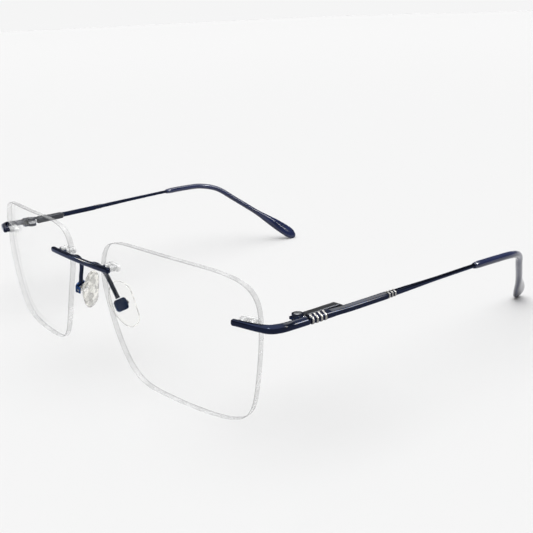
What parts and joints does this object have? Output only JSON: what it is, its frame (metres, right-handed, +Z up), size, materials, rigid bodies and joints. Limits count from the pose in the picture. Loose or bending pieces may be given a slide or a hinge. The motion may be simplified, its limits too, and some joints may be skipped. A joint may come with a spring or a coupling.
{
  "type": "rimless eyeglasses",
  "caption": "Rimless eyeglasses: clear drilled lenses on a bar bridge and end lugs, adjustable nose pads and folding spring-hinged temples with plastic ear tips.",
  "frame": {"origin": "centre of the bounding box's underside, the plane that the lenses and ear tips stand on", "axes": "+Z up, +X across the front (the plane X = 0 is the plane of symmetry), -Y the way the glasses face, so the temples run back along +Y. 'right' is the side at +X, the right side as seen from the front."},
  "size_m": [0.1484, 0.1322, 0.0393],
  "materials": {
    "lens": "clear, ground and polished edge",
    "sleeve": "clear moulded plastic",
    "navy": "dark navy gloss lacquer on metal",
    "satin": "satin dark grey, brushed lengthways",
    "silver": "polished silver",
    "steel": "bright steel",
    "tip": "translucent deep blue, glossy",
    "pad": "clear soft plastic, glossy"
  },
  "bodies": {
    "frame": {"bridge_bar": "navy", "lens_right": "lens", "nasal_sleeve_right": "sleeve", "temporal_sleeve_right": "sleeve", "end_lug_right": "navy", "hinge_screw_right": "steel", "pad_arm_right": "navy", "pad_box_right": "navy", "pad_screw_right": "silver", "lens_left": "lens", "nasal_sleeve_left": "sleeve", "temporal_sleeve_left": "sleeve", "end_lug_left": "navy", "hinge_screw_left": "steel", "pad_arm_left": "navy", "pad_box_left": "navy", "pad_screw_left": "silver"},
    "slide_right": {"hinge_slide_right": "steel"},
    "slide_left": {"hinge_slide_left": "steel"},
    "temple_right": {"temple_right": "navy", "ear_tip_right": "tip", "spring_housing_right": "satin", "slide_plug_right": "steel", "slide_spring_right": "steel", "front_ring_1_right": "silver", "front_ring_2_right": "silver", "front_ring_3_right": "silver", "front_ring_4_right": "silver", "rear_ring_1_right": "silver", "rear_ring_2_right": "silver", "rear_ring_3_right": "silver"},
    "temple_left": {"temple_left": "navy", "ear_tip_left": "tip", "spring_housing_left": "satin", "slide_plug_left": "steel", "slide_spring_left": "steel", "front_ring_1_left": "silver", "front_ring_2_left": "silver", "front_ring_3_left": "silver", "front_ring_4_left": "silver", "rear_ring_1_left": "silver", "rear_ring_2_left": "silver", "rear_ring_3_left": "silver"},
    "pad_right": {"nose_pad_right": "pad"},
    "pad_left": {"nose_pad_left": "pad"}
  },
  "joints": [
    {"name": "temple_fold_right", "type": "hinge", "parent": "frame", "child": "slide_right", "pos_m": [0.06745, -0.04691, 0.02701], "axis": [0, 0, 1], "range_deg": [0, 80]},
    {"name": "temple_fold_left", "type": "hinge", "parent": "frame", "child": "slide_left", "pos_m": [-0.06745, -0.04691, 0.02701], "axis": [0, 0, -1], "range_deg": [0, 87]},
    {"name": "spring_flex_right", "type": "slide", "parent": "slide_right", "child": "temple_right", "axis": [0.0506, 0.9987, 0], "range_m": [0, 0.0012], "stiffness_N_per_m": 6000, "springref_m": -0.0008, "deforming": ["slide_spring_right"]},
    {"name": "spring_flex_left", "type": "slide", "parent": "slide_left", "child": "temple_left", "axis": [-0.0506, 0.9987, 0], "range_m": [0, 0.0012], "stiffness_N_per_m": 6000, "springref_m": -0.0008, "deforming": ["slide_spring_left"]},
    {"name": "pad_rock_right", "type": "hinge", "parent": "frame", "child": "pad_right", "pos_m": [0.011, -0.05869, 0.01976], "axis": [0.3077, 0.9161, 0.2569], "range_deg": [-10, 10]},
    {"name": "pad_rock_left", "type": "hinge", "parent": "frame", "child": "pad_left", "pos_m": [-0.011, -0.05869, 0.01976], "axis": [0.3077, -0.9161, -0.2569], "range_deg": [-10, 10]}
  ]
}
